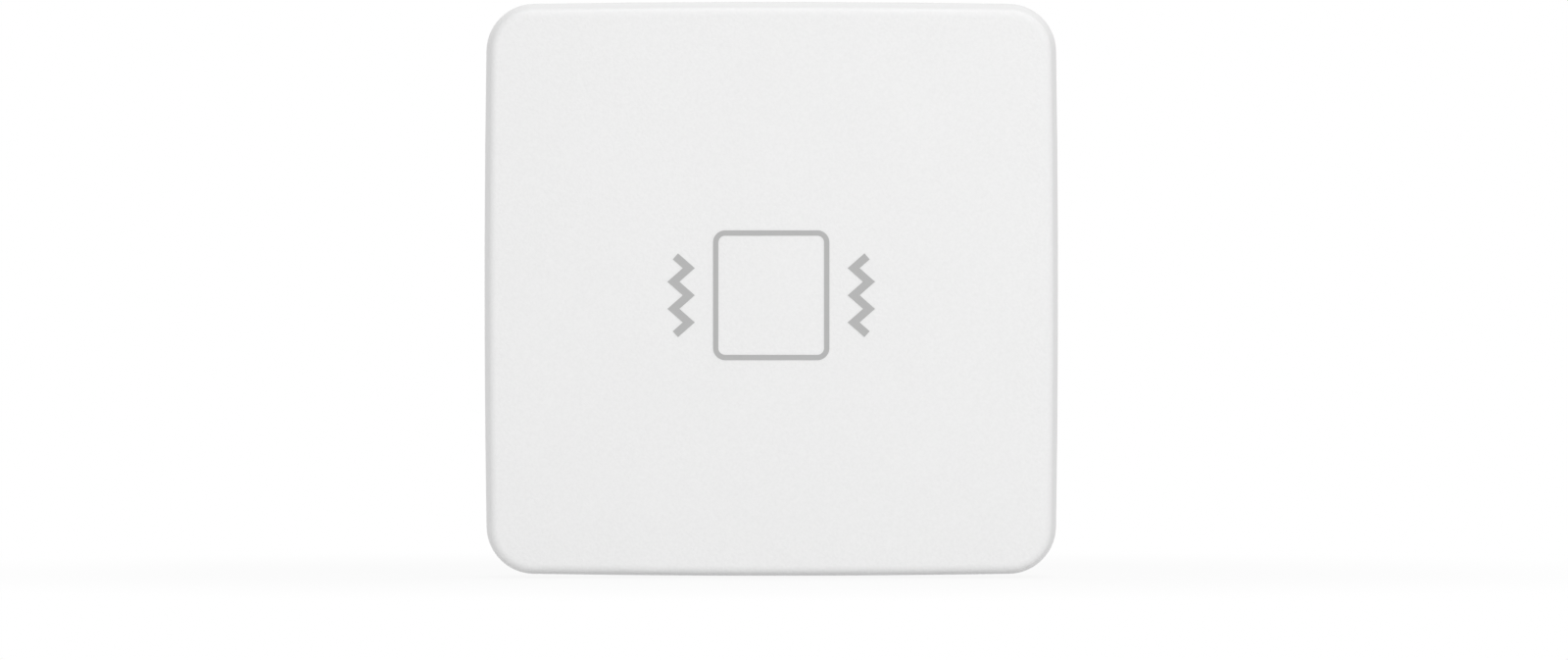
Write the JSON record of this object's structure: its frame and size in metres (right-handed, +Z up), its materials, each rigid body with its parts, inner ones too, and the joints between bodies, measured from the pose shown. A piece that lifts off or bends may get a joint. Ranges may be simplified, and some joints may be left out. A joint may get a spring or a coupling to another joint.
{
  "type": "vibration sensor tag",
  "caption": "Square white battery-powered vibration sensor tag with a pull-off front cover, a printed vibration mark and a foam adhesive back.",
  "frame": {"origin": "middle of the foam pad's adhesive face, on the back of the tag", "axes": "+Z up the face, +X to the right as seen from the front, +Y out of the adhesive back into the wall"},
  "size_m": [0.06, 0.016, 0.06],
  "materials": {
    "cover_white": "fine eroded texture",
    "ink_grey": "flat printed ink",
    "base_white": "satin moulded",
    "foam_grey": "open-cell foam tape",
    "cell_metal": "bright plated",
    "cell_sleeve": "shrunk printed film",
    "contact_nickel": "nickel plated",
    "spring_steel": "nickel plated wire",
    "board_green": "solder mask",
    "screw_steel": "zinc plated",
    "chip_black": "moulded package",
    "shield_tin": "tinned sheet",
    "trace_gold": "gold plated copper",
    "lamp_resin": "clear resin",
    "switch_black": "moulded",
    "knob_white": "moulded",
    "solder_tin": "tinned",
    "capacitor_can": "drawn can",
    "ceramic_tan": "fired",
    "ceramic_black": "glazed"
  },
  "bodies": {
    "base": {"rear_base": "base_white", "adhesive_pad": "foam_grey", "lower_cell_can": "cell_metal", "lower_cell_sleeve": "cell_sleeve", "upper_cell_can": "cell_metal", "upper_cell_sleeve": "cell_sleeve", "bridge_contact": "contact_nickel", "bridge_spring": "spring_steel", "positive_contact": "contact_nickel", "negative_contact": "contact_nickel", "negative_spring": "spring_steel", "circuit_board": "board_green", "board_screws": "screw_steel", "radio_module": "board_green", "radio_chip": "chip_black", "radio_shield": "shield_tin", "antenna_trace": "trace_gold", "accelerometer": "chip_black", "status_led": "lamp_resin", "reset_switch_body": "switch_black", "reset_switch_plate": "shield_tin", "sensitivity_switch_base": "switch_black", "sensitivity_switch_shell": "shield_tin", "switch_legs": "solder_tin", "bulk_capacitor": "capacitor_can", "bulk_capacitor_foot": "switch_black", "crystal": "shield_tin", "chip_capacitors": "ceramic_tan", "chip_resistors": "ceramic_black", "chip_ends": "solder_tin"},
    "cover": {"front_cover": "cover_white", "icon_print": "ink_grey"},
    "reset_key": {"reset_button": "switch_black"},
    "sensitivity_slider": {"sensitivity_knob": "knob_white"}
  },
  "joints": [
    {"name": "cover_pull", "type": "slide", "parent": "base", "child": "cover", "axis": [0, -1, 0], "range_m": [0, 0.045]},
    {"name": "reset_press", "type": "slide", "parent": "base", "child": "reset_key", "axis": [0, 1, 0], "range_m": [0, 0.00025], "stiffness_N_per_m": 6000, "springref_m": -0.00005},
    {"name": "sensitivity_shift", "type": "slide", "parent": "base", "child": "sensitivity_slider", "axis": [1, 0, 0], "range_m": [-0.0015, 0.0015]}
  ]
}
